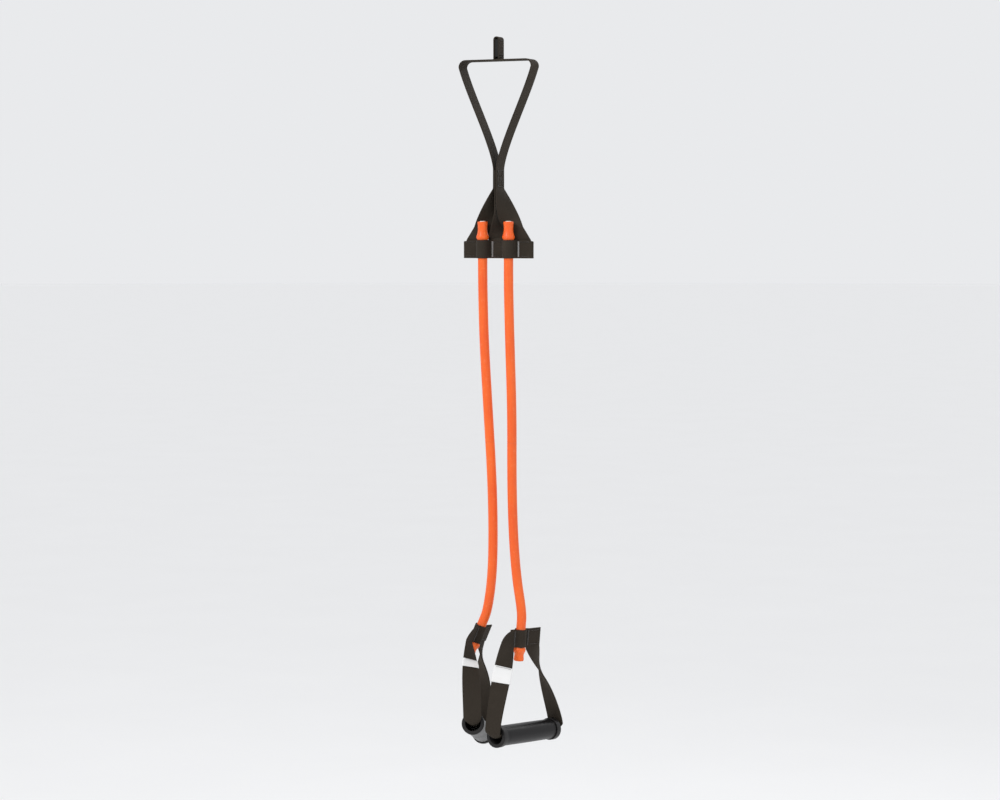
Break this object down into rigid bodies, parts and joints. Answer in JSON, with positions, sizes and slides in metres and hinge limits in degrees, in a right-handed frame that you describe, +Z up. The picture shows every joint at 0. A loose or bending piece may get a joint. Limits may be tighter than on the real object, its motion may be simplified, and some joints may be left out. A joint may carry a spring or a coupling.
{
  "type": "resistance band",
  "caption": "Resistance band with a webbing hook loop, an anchor bar, orange latex tubes and D-shaped strap handles with rolling black grips.",
  "frame": {"origin": "middle of the hook loop's inner top, where the hook bears", "axes": "+X along the anchor bar, +Y away from the side with the tube tunnels, +Z up; the band hangs down from its loop"},
  "size_m": [0.1299, 0.1579, 0.9861],
  "materials": {
    "webbing": "woven black-brown webbing",
    "thread": "pale grey sewing thread",
    "thread_black": "black sewing thread",
    "latex": "semi-gloss orange latex",
    "plug": "ivory moulded plastic",
    "tab_core": "moulded",
    "label": "white woven tape",
    "grip": "glossy black moulded plastic",
    "collar": "glossy black moulded plastic"
  },
  "bodies": {
    "anchor": {"anchor_strap": "webbing", "centre_strap": "webbing", "bar_wrap": "webbing", "neck_stitching": "thread_black", "bar_stitching": "thread", "stop_tab_cover": "webbing", "stop_tab_core": "tab_core", "stop_tab_stitching": "thread_black", "left_top_plug": "plug", "right_top_plug": "plug"},
    "left_tube_run": {"left_tube": "latex"},
    "left_tube_end": {"left_bottom_plug": "plug"},
    "left_handle": {"left_handle_strap": "webbing", "left_yoke_stitching": "thread_black", "left_label": "label", "left_label_stitching": "thread"},
    "left_grip_roller": {"left_grip": "grip", "left_near_collar": "collar", "left_far_collar": "collar"},
    "right_tube_run": {"right_tube": "latex"},
    "right_tube_end": {"right_bottom_plug": "plug"},
    "right_handle": {"right_handle_strap": "webbing", "right_yoke_stitching": "thread_black", "right_label": "label", "right_label_stitching": "thread"},
    "right_grip_roller": {"right_grip": "grip", "right_near_collar": "collar", "right_far_collar": "collar"}
  },
  "joints": [
    {"name": "left_tube_swing", "type": "hinge", "parent": "anchor", "child": "left_tube_run", "pos_m": [-0.0195, -0.0099, -0.268], "axis": [1, 0, 0], "range_deg": [-70, 70]},
    {"name": "left_tube_stretch", "type": "slide", "parent": "left_tube_run", "child": "left_tube_end", "axis": [0, 0, -1], "range_m": [0, 0.45], "stiffness_N_per_m": 120, "springref_m": -0.03, "deforming": ["left_tube"]},
    {"name": "left_handle_swivel", "type": "hinge", "parent": "left_tube_end", "child": "left_handle", "pos_m": [-0.027, -0.009, -0.786], "axis": [0.3542, 0.122, 0.9272], "range_deg": [-25, 0]},
    {"name": "left_grip_spin", "type": "hinge", "parent": "left_handle", "child": "left_grip_roller", "pos_m": [-0.027, -0.009, -0.919], "axis": [0.3113, -0.9042, 0.2924], "continuous": true},
    {"name": "right_tube_swing", "type": "hinge", "parent": "anchor", "child": "right_tube_run", "pos_m": [0.0195, -0.0099, -0.268], "axis": [1, 0, 0], "range_deg": [-70, 70]},
    {"name": "right_tube_stretch", "type": "slide", "parent": "right_tube_run", "child": "right_tube_end", "axis": [0, 0, -1], "range_m": [0, 0.45], "stiffness_N_per_m": 120, "springref_m": -0.03, "deforming": ["right_tube"]},
    {"name": "right_handle_swivel", "type": "hinge", "parent": "right_tube_end", "child": "right_handle", "pos_m": [0.037, -0.009, -0.788], "axis": [0.0856, -0.0166, 0.9962], "range_deg": [0, 25]},
    {"name": "right_grip_spin", "type": "hinge", "parent": "right_handle", "child": "right_grip_roller", "pos_m": [0.03891, 0.00082, -0.921], "axis": [-0.1902, -0.9786, 0.0785], "continuous": true}
  ]
}
